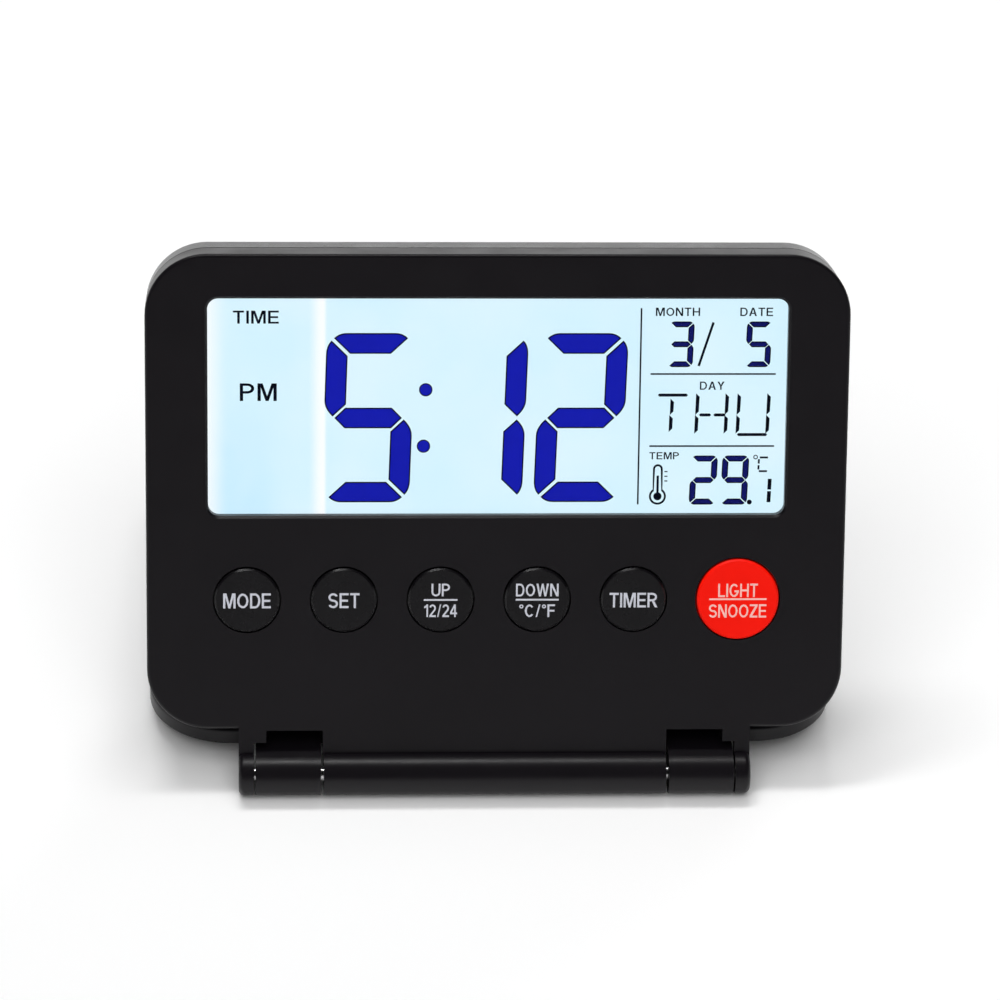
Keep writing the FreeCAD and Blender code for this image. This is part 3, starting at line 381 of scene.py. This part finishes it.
def make_alphabet():
    """Plain even-stroke letters of height 1: width, outlines, and rings of an outer and an inner outline."""
    pen, half, low_bar, high_bar = PEN, PEN / 2, 0.5 - PEN / 2, 0.5 + PEN / 2
    stem = box(0, pen, 0, 1)
    s_outer, s_inner, s_high, s_low = 0.285, 0.145, 0.715, 0.285
    letters = {
        "A": (0.72, [[(0, 0), (0.17, 0), (0.36, 0.8), (0.55, 0), (0.72, 0), (0.45, 1), (0.27, 1)],
                     [(0.231, 0.26), (0.489, 0.26), (0.457, 0.39), (0.263, 0.39)]], []),
        "C": (0.7, [round_letter(0.7, 40, 320)], []),
        "D": (0.68, [], [(bowl(0, 0.68, 0, 1, 0), bowl(0, 0.68, 0, 1, pen))]),
        "E": (0.6, [stem, box(pen, 0.6, 0, pen), box(pen, 0.56, low_bar, high_bar), box(pen, 0.6, 1 - pen, 1)], []),
        "F": (0.56, [stem, box(pen, 0.52, low_bar, high_bar), box(pen, 0.56, 1 - pen, 1)], []),
        "G": (0.74, [round_letter(0.74, 40, 345), box(0.4, 0.74, 0.36, 0.36 + pen)], []),
        "H": (0.68, [stem, box(0.68 - pen, 0.68, 0, 1), box(pen, 0.68 - pen, low_bar, high_bar)], []),
        "I": (pen, [stem], []),
        "L": (0.54, [stem, box(pen, 0.54, 0, pen)], []),
        "M": (0.82, [[(0, 0), (pen, 0), (pen, 0.76), (0.345, 0), (0.475, 0), (0.82 - pen, 0.76), (0.82 - pen, 0),
                      (0.82, 0), (0.82, 1), (0.6, 1), (0.41, 0.27), (0.22, 1), (0, 1)]], []),
        "N": (0.68, [[(0, 0), (pen, 0), (pen, 0.72), (0.5, 0), (0.68, 0), (0.68, 1), (0.68 - pen, 1),
                      (0.68 - pen, 0.28), (0.18, 1), (0, 1)]], []),
        "O": (0.76, [], [(arc(0.38, 0.5, 0.38, 0.5, 0, 324), arc(0.38, 0.5, 0.38 - pen, 0.5 - pen, 0, 324))]),
        "P": (0.62, [box(0, pen, 0, 0.42)], [(bowl(0, 0.62, 0.42, 1, 0), bowl(0, 0.62, 0.42, 1, 0.14))]),
        "R": (0.68, [box(0, pen, 0, 0.42), [(0.5, 0), (0.68, 0), (0.47, 0.42), (0.3, 0.42)]],
              [(bowl(0, 0.64, 0.42, 1, 0), bowl(0, 0.64, 0.42, 1, 0.14))]),
        "S": (0.64, [arc(0.32, s_high, 0.32, s_outer, 20, 270)[:-1] + arc(0.32, s_low, 0.32 - pen, s_inner, 90, -160)
                     + arc(0.32, s_low, 0.32, s_outer, -160, 90)[:-1]
                     + arc(0.32, s_high, 0.32 - pen, s_inner, 270, 20)], []),
        "T": (0.62, [box(0, 0.62, 1 - pen, 1), box(0.31 - half, 0.31 + half, 0, 1 - pen)], []),
        "U": (0.68, [[(0, 1), *arc(0.34, 0.34, 0.34, 0.34, 180, 360), (0.68, 1), (0.68 - pen, 1),
                      *arc(0.34, 0.34, 0.34 - pen, 0.34 - pen, 360, 180), (pen, 1)]], []),
        "W": (1.0, [[(0, 1), (0.16, 1), (0.285, 0.27), (0.43, 1), (0.57, 1), (0.715, 0.27), (0.84, 1), (1, 1),
                     (0.79, 0), (0.64, 0), (0.5, 0.7), (0.36, 0), (0.21, 0)]], []),
        "Y": (0.68, [[(0.34 - half, 0), (0.34 + half, 0), (0.34 + half, 0.42), (0.68, 1), (0.5, 1), (0.34, 0.6),
                      (0.18, 1), (0, 1), (0.34 - half, 0.42)]], []),
        "Z": (0.62, [[(0, 0), (0.62, 0), (0.62, pen), (0.2, pen), (0.62, 1 - pen), (0.62, 1), (0, 1),
                      (0, 1 - pen), (0.42, 1 - pen), (0, pen)]], []),
        "1": (0.34, [[(0.34 - pen, 0), (0.34, 0), (0.34, 1), (0.24, 1), (0, 0.82), (0, 0.69), (0.34 - pen, 0.76)]],
              []),
        "2": (0.58, [arc(0.29, 0.7, 0.29, 0.3, 165, -35) + [(0.21, pen), (0.58, pen), (0.58, 0), (0, 0), (0, 0.12)]
                     + arc(0.29, 0.7, 0.29 - pen, 0.16, -35, 165)], []),
        "4": (0.6, [box(0.35, 0.35 + pen, 0, 0.22), box(0.35 + pen, 0.6, 0.22, 0.36)],
              [([(0, 0.22), (0.35 + pen, 0.22), (0.35 + pen, 1), (0.35, 1), (0, 0.38)],
                [(0.15, 0.36), (0.35, 0.36), (0.35, 0.6), (0.35, 0.73), (0.16, 0.385)])]),
        "/": (0.36, [[(0, 0), (0.11, 0), (0.36, 1), (0.25, 1)]], []),
        "°": (0.32, [], [(arc(0.16, 0.84, 0.16, 0.16, 0, 324), arc(0.16, 0.84, 0.07, 0.07, 0, 324))]),
    }
    return letters


class Artwork:
    """Thin raised shapes on a plane of the face, collected into one piece."""

    def __init__(self, front, back):
        self.front, self.back = front, back
        self.mesh = bmesh.new()

    def outline(self, points):
        """A closed outline of (across, up) points, given a thin body."""
        rings = [[self.mesh.verts.new(at(x, depth, z)) for x, z in points] for depth in (self.front, self.back)]
        self.mesh.faces.new(rings[0])
        self.mesh.faces.new(list(reversed(rings[1])))
        count = len(points)
        for i in range(count):
            following = (i + 1) % count
            self.mesh.faces.new((rings[0][following], rings[0][i], rings[1][i], rings[1][following]))

    def stroke(self, start, end, width):
        (x1, z1), (x2, z2) = start, end
        length = math.hypot(x2 - x1, z2 - z1)
        side_x, side_z = (z2 - z1) / length * width / 2, -(x2 - x1) / length * width / 2
        self.outline([(x1 + side_x, z1 + side_z), (x2 + side_x, z2 + side_z), (x2 - side_x, z2 - side_z),
                      (x1 - side_x, z1 - side_z)])

    def disc(self, x, z, radius, steps=40):
        angles = [2 * math.pi * i / steps for i in range(steps)]
        self.outline([(x + radius * math.cos(a), z + radius * math.sin(a)) for a in angles])

    def ring(self, outer, inner):
        """The closed strip between two outlines with as many points."""
        loops = [[self.mesh.verts.new(at(x, depth, z)) for x, z in points]
                 for points in (outer, inner) for depth in (self.front, self.back)]
        outer_front, outer_back, inner_front, inner_back = loops
        for near, far in ((outer_front, inner_front), (inner_back, outer_back), (outer_back, outer_front),
                          (inner_front, inner_back)):
            for i in range(len(outer)):
                following = (i + 1) % len(outer)
                self.mesh.faces.new((near[i], near[following], far[following], far[i]))

    def words(self, words, left, right, low, high, space):
        """Plain lettering that fills a rectangle; space is the gap between letters, as a share of height."""
        widths = [ALPHABET[letter][0] for letter in words]
        stretch = (right - left) / (sum(widths) + space * (len(words) - 1))
        start = left
        for letter, width in zip(words, widths):
            _, outlines, rings = ALPHABET[letter]

            def fit(points, origin=start):
                return [(origin + x * stretch, low + z * (high - low)) for x, z in points]

            for points in outlines:
                self.outline(fit(points))
            for outer, inner in rings:
                self.ring(fit(outer), fit(inner))
            start += (width + space) * stretch

    def piece(self, name, material, body="clock"):
        bmesh.ops.recalc_face_normals(self.mesh, faces=self.mesh.faces[:])
        mesh = bpy.data.meshes.new(name)
        self.mesh.to_mesh(mesh)
        self.mesh.free()
        return add_piece(name, mesh, material, body)


ALPHABET = make_alphabet()
SLANT = 0.033
BEND_STEPS = 5
SEGMENTS = {"2": "abged", "3": "abgcd", "5": "afgcd", "9": "abfgcd", "1": "bc"}


def bend(start, corner, end):
    """Points of a rounded corner from start to end."""
    found = []
    for i in range(BEND_STEPS + 1):
        share = i / BEND_STEPS
        weights = ((1 - share) ** 2, 2 * share * (1 - share), share ** 2)
        found.append(tuple(sum(w * p[axis] for w, p in zip(weights, (start, corner, end))) for axis in (0, 1)))
    return found


def segment_outlines(width, height, thick):
    """The seven segments of a digit as outlines inside a width by height box, before slanting."""
    middle = height / 2
    tip, flat, cut = thick * 0.35, thick * 0.95, thick * 0.25
    near, far, gap = thick * 0.5, thick * 0.66, thick * 0.055
    inner = thick * 1.03
    top = [*bend((tip, height - cut), (tip + cut, height), (flat, height)),
           *bend((width - flat, height), (width - tip - cut, height), (width - tip, height - cut)),
           (width - inner - gap * 2, height - thick), (inner + gap * 2, height - thick)]
    post = [*bend((tip * 0.7, height - cut - gap * 2), (0, height - tip - cut), (0, height - flat * 1.1)),
            *bend((0, middle + far * 1.3), (0, middle + far * 0.7), (near * 0.82, middle + gap * 1.3)),
            (inner, middle + far), (inner, height - thick - gap * 2)]
    bar = [(near, middle), (near * 2, middle + near), (width - near * 2, middle + near), (width - near, middle),
           (width - near * 2, middle - near), (near * 2, middle - near)]

    def flip_x(points):
        return [(width - x, z) for x, z in points]

    def flip_z(points):
        return [(x, height - z) for x, z in points]

    return {"a": top, "d": flip_z(top), "g": bar, "f": post, "b": flip_x(post), "e": flip_z(post),
            "c": flip_z(flip_x(post))}


def inset(points, amount):
    """Moves an outline's sides inwards by amount."""
    area = sum(x1 * z2 - x2 * z1 for (x1, z1), (x2, z2) in zip(points, points[1:] + points[:1]))
    turn = 1 if area > 0 else -1
    lines = []
    for (x1, z1), (x2, z2) in zip(points, points[1:] + points[:1]):
        length = math.hypot(x2 - x1, z2 - z1)
        nx, nz = -(z2 - z1) / length * turn, (x2 - x1) / length * turn
        lines.append((x1 + nx * amount, z1 + nz * amount, x2 - x1, z2 - z1))
    moved = []
    for (x1, z1, dx1, dz1), (x2, z2, dx2, dz2) in zip(lines[-1:] + lines[:-1], lines):
        cross = dx1 * dz2 - dz1 * dx2
        share = ((x2 - x1) * dz2 - (z2 - z1) * dx2) / cross
        moved.append((x1 + dx1 * share, z1 + dz1 * share))
    return moved


def digit_outlines(digit, left, low, width, height, thick):
    """The lit segments of a digit, slanted about its own middle."""
    shapes = segment_outlines(width, height, thick)
    for letter in SEGMENTS[digit]:
        yield [(left + x + SLANT * (z - height / 2), low + z) for x, z in shapes[letter]]


# ---------------------------------------------------------------- display graphics

LCD_LAYER = (2.64, 2.67)
CAPTION_SPACE = 0.13
BIG = {"width": 12.86, "height": 25.1, "thick": 3.05, "low": 40.47}
BIG_DIGITS = [("5", -25.19), ("1", -8.76), ("2", 5.74)]
COLON = [(-10.42, 57.2), (-10.7, 48.83)]
SMALL_ROWS = [
    ("3", 24.75, 60.55, 3.7, 6.75, 0.86), ("5", 36.05, 60.55, 3.7, 6.75, 0.86),
    ("2", 28.25, 40.05, 3.95, 7.35, 0.9), ("9", 32.85, 40.05, 3.95, 7.35, 0.9),
]
RULES = [((20.77, 69.25), (20.68, 40.1)), ((22.24, 59.53), (40.5, 59.53)), ((22.24, 48.81), (40.5, 48.81))]
CAPTIONS = [("TIME", -38.3, -31.7, 66.95, 68.85), ("PM", -37.35, -32.0, 55.55, 58.15),
            ("MONTH", 22.86, 29.28, 68.1, 69.33), ("DATE", 35.13, 39.9, 68.1, 69.33),
            ("DAY", 29.46, 33.05, 57.2, 58.4), ("TEMP", 22.26, 26.6, 46.84, 47.9)]


def draw_display(navy, blue, deep_blue):
    front, back = LCD_LAYER
    dark = Artwork(front, back)
    lit, small_lit = Artwork(front - 0.012, front), Artwork(front - 0.012, front)
    for digit, left in BIG_DIGITS:
        for shape in digit_outlines(digit, left, BIG["low"], BIG["width"], BIG["height"], BIG["thick"]):
            dark.outline(shape)
            lit.outline(inset(shape, 0.2))
    for x, z in COLON:
        dark.disc(x, z, 0.98)
        lit.disc(x, z, 0.82)
    for digit, left, low, width, height, thick in SMALL_ROWS:
        for shape in digit_outlines(digit, left, low, width, height, thick):
            dark.outline(shape)
            small_lit.outline(inset(shape, 0.17))
    for start, end in RULES:
        dark.stroke(start, end, 0.24)
    dark.stroke((31.27, 67.16), (29.22, 60.71), 0.36)
    draw_weekday(dark)
    draw_thermometer(dark)
    dark.disc(37.05, 40.42, 0.36)
    draw_unit(dark)
    dark.piece("display_dark_marks", navy)
    lit.piece("display_blue_segments", blue)
    small_lit.piece("display_small_segments", deep_blue)
    small = Artwork(front, back)
    for words, left, right, low, high in CAPTIONS:
        small.words(words, left, right, low, high, CAPTION_SPACE)
    small.piece("display_captions", navy)


def draw_weekday(art):
    """Day letters in slim segments whose ends are cut aslant."""
    low, high, middle, half, gap = 50.65, 56.4, 53.45, 0.26, 0.26

    def post(x, start, end):
        """An upright segment between two heights, cut to a slant at both ends."""
        lean_start, lean_end = SLANT * (start - middle), SLANT * (end - middle)
        art.outline([(x - half + lean_start, start - half), (x + half + lean_start, start + half),
                     (x + half + lean_end, end - half), (x - half + lean_end, end + half)])

    def bar(left, right, z):
        """A level segment with pointed ends."""
        thin = half * 0.85
        art.outline([(left, z), (left + thin, z + thin), (right - thin, z + thin), (right, z),
                     (right - thin, z - thin), (left + thin, z - thin)])

    bar(23.35, 27.75, high)
    post(25.4, middle + gap, high - gap * 3)
    post(25.35, low + gap * 2, middle - gap)
    for left, right in ((29.1, 33.4), (35.15, 39.5)):
        for x in (left, right):
            post(x, middle + gap, high)
            post(x, low + gap, middle - gap)
    bar(29.4, 31.2, middle)
    bar(31.5, 33.3, middle)
    bar(35.0, 39.45, low - half / 2)


def draw_thermometer(art):
    x, bulb, top, half, radius, line = 23.55, 41.3, 46.1, 0.72, 1.25, 0.3
    steps = 24
    start = math.acos(half / radius)
    around = [math.pi - start + (math.pi + 2 * start) * i / steps for i in range(steps + 1)]
    cap = [math.pi * i / steps for i in range(steps + 1)]
    shapes = []
    for inward in (0, line):
        bulb_part = [(x + (radius - inward) * math.cos(a), bulb + (radius - inward) * math.sin(a)) for a in around]
        cap_part = [(x + (half - inward) * math.cos(a), top - half + (half - inward) * math.sin(a)) for a in cap]
        shapes.append(bulb_part + cap_part)
    art.ring(*shapes)
    art.disc(x, bulb, 0.6)
    art.stroke((x, bulb + 0.5), (x, 44.4), 0.34)
    for z in (43.6, 44.3, 45.0):
        art.stroke((x + half + 0.25, z), (x + half + 0.7, z), 0.16)


def draw_unit(art):
    """Degree ring, unit letter and the tenths digit."""
    steps = 20
    ring = [[(37.83 + r * math.cos(2 * math.pi * i / steps), 47.16 + r * math.sin(2 * math.pi * i / steps))
             for i in range(steps)] for r in (0.34, 0.2)]
    art.ring(*ring)
    left, right, low, high, middle = 38.3, 39.65, 45.05, 47.1, 46.07
    art.stroke((left + 0.15, high), (right, high), 0.28)
    art.stroke((left + 0.05, low), (right - 0.1, low), 0.28)
    art.stroke((left + 0.03, high - 0.25), (left, middle + 0.12), 0.28)
    art.stroke((left, middle - 0.12), (left - 0.03, low + 0.25), 0.28)
    art.stroke((39.98, 43.9), (39.93, 42.3), 0.56)
    art.stroke((39.92, 42.05), (39.86, 40.4), 0.56)


# ---------------------------------------------------------------- button legends

# name: lines of words, each with its half width and its low and high edge from the button's centre
LEGENDS = {
    "mode": [("MODE", 3.47, -1.15, 1.1)],
    "set": [("SET", 2.27, -1.15, 1.1)],
    "up": [("UP", 1.35, 0.59, 2.49), ("12/24", 2.4, -2.53, -0.62)],
    "down": [("DOWN", 3.12, 0.55, 2.46), ("°C/°F", 2.62, -2.57, -0.66)],
    "timer": [("TIMER", 3.52, -1.15, 1.05)],
    "snooze": [("LIGHT", 2.92, 0.36, 2.39), ("SNOOZE", 4.22, -2.73, -0.73)],
}
RULE_HALF = {"up": 2.46, "down": 3.14, "snooze": 4.21}
LEGEND_SPACE = 0.1


def draw_legends(grey, pink):
    for name, lines in LEGENDS.items():
        low, high = face_box(f"{name}_button")
        x, z, front = (low.x + high.x) / 2, (low.z + high.z) / 2, low.y
        art = Artwork(front - 0.008, front + 0.01)
        for words, half, bottom, top in lines:
            art.words(words, x - half, x + half, z + bottom, z + top, LEGEND_SPACE)
        if name in RULE_HALF:
            half = RULE_HALF[name]
            art.stroke((x - half, z + 0.05), (x + half, z + 0.05), 0.26)
        art.piece(f"{name}_legend", pink if name == "snooze" else grey, f"{name}_button")


# ---------------------------------------------------------------- floor and light

CEILING = 0.02
HORIZON_TOP = math.sin(math.radians(6.0))
CEILING_START = math.sin(math.radians(10.5))
FLOOR_HALF = 4.0


def make_floor():
    mesh = bpy.data.meshes.new("floor")
    half = FLOOR_HALF
    mesh.from_pydata([(-half, -half, 0), (half, -half, 0), (half, half, 0), (-half, half, 0)], [],
                     [(0, 1, 2, 3)])
    floor = bpy.data.objects.new("floor", mesh)
    scene.collection.objects.link(floor)
    shader = Shader("floor_white", (0.97, 0.97, 0.97), 0.9)
    shader.set(**{"Specular IOR Level": 0.0})
    mesh.materials.append(shader.material)


def make_world():
    """A studio that is white up to a little above the horizon and dark overhead."""
    world = bpy.data.worlds.new("studio")
    scene.world = world
    world.use_nodes = True
    tree = world.node_tree
    where = tree.nodes.new("ShaderNodeTexCoord")
    split = tree.nodes.new("ShaderNodeSeparateXYZ")
    fade = tree.nodes.new("ShaderNodeMapRange")
    fade.interpolation_type = "SMOOTHSTEP"
    for name, value in (("From Min", HORIZON_TOP), ("From Max", CEILING_START), ("To Min", 1),
                        ("To Max", CEILING)):
        fade.inputs[name].default_value = value
    tree.links.new(where.outputs["Generated"], split.inputs["Vector"])
    tree.links.new(split.outputs["Z"], fade.inputs["Value"])
    tree.links.new(fade.outputs["Result"], tree.nodes["Background"].inputs["Color"])


def softbox(name, place, width, height, power, mirrored=True):
    """A rectangular lamp aimed at the clock; mirrored says whether glossy surfaces show it."""
    data = bpy.data.lights.new(name, "AREA")
    data.shape = "RECTANGLE"
    data.size, data.size_y, data.energy = width, height, power
    lamp = bpy.data.objects.new(name, data)
    scene.collection.objects.link(lamp)
    lamp.location = place
    lamp.rotation_euler = (CLOCK_MIDDLE - Vector(place)).to_track_quat("-Z", "Y").to_euler()
    lamp.visible_glossy = mirrored


CLOCK_MIDDLE = Vector((0, 0, 0.03))


def make_lights():
    softbox("key_above", (-0.12, 0.36, 1.08), 0.6, 0.12, 4.8)
    softbox("rim_behind", (0.6, 0.9, 0.5), 0.6, 0.25, 2.3)
    softbox("fill_front", (-0.1, -0.75, 1.0), 1.3, 0.9, 7.4, mirrored=False)
    softbox("ceiling_soft", (0, 0.0, 1.6), 2.2, 2.2, 13.7, mirrored=False)


# ---------------------------------------------------------------- whole scene

def main():
    make_camera()
    lens = face_box("display_lens")
    dress_nodes(make_finishes(lens))
    draw_display(ink("display_navy", (0.003, 0.005, 0.018)), ink("display_blue", (0.008, 0.012, 0.4), 0.5),
                 ink("display_deep_blue", (0.006, 0.008, 0.12), 0.5))
    draw_legends(ink("legend_grey", (0.56, 0.57, 0.63)), ink("legend_pink", (0.95, 0.5, 0.45)))
    make_floor()
    make_world()
    make_lights()
    scene.view_settings.view_transform = "Standard"


main()
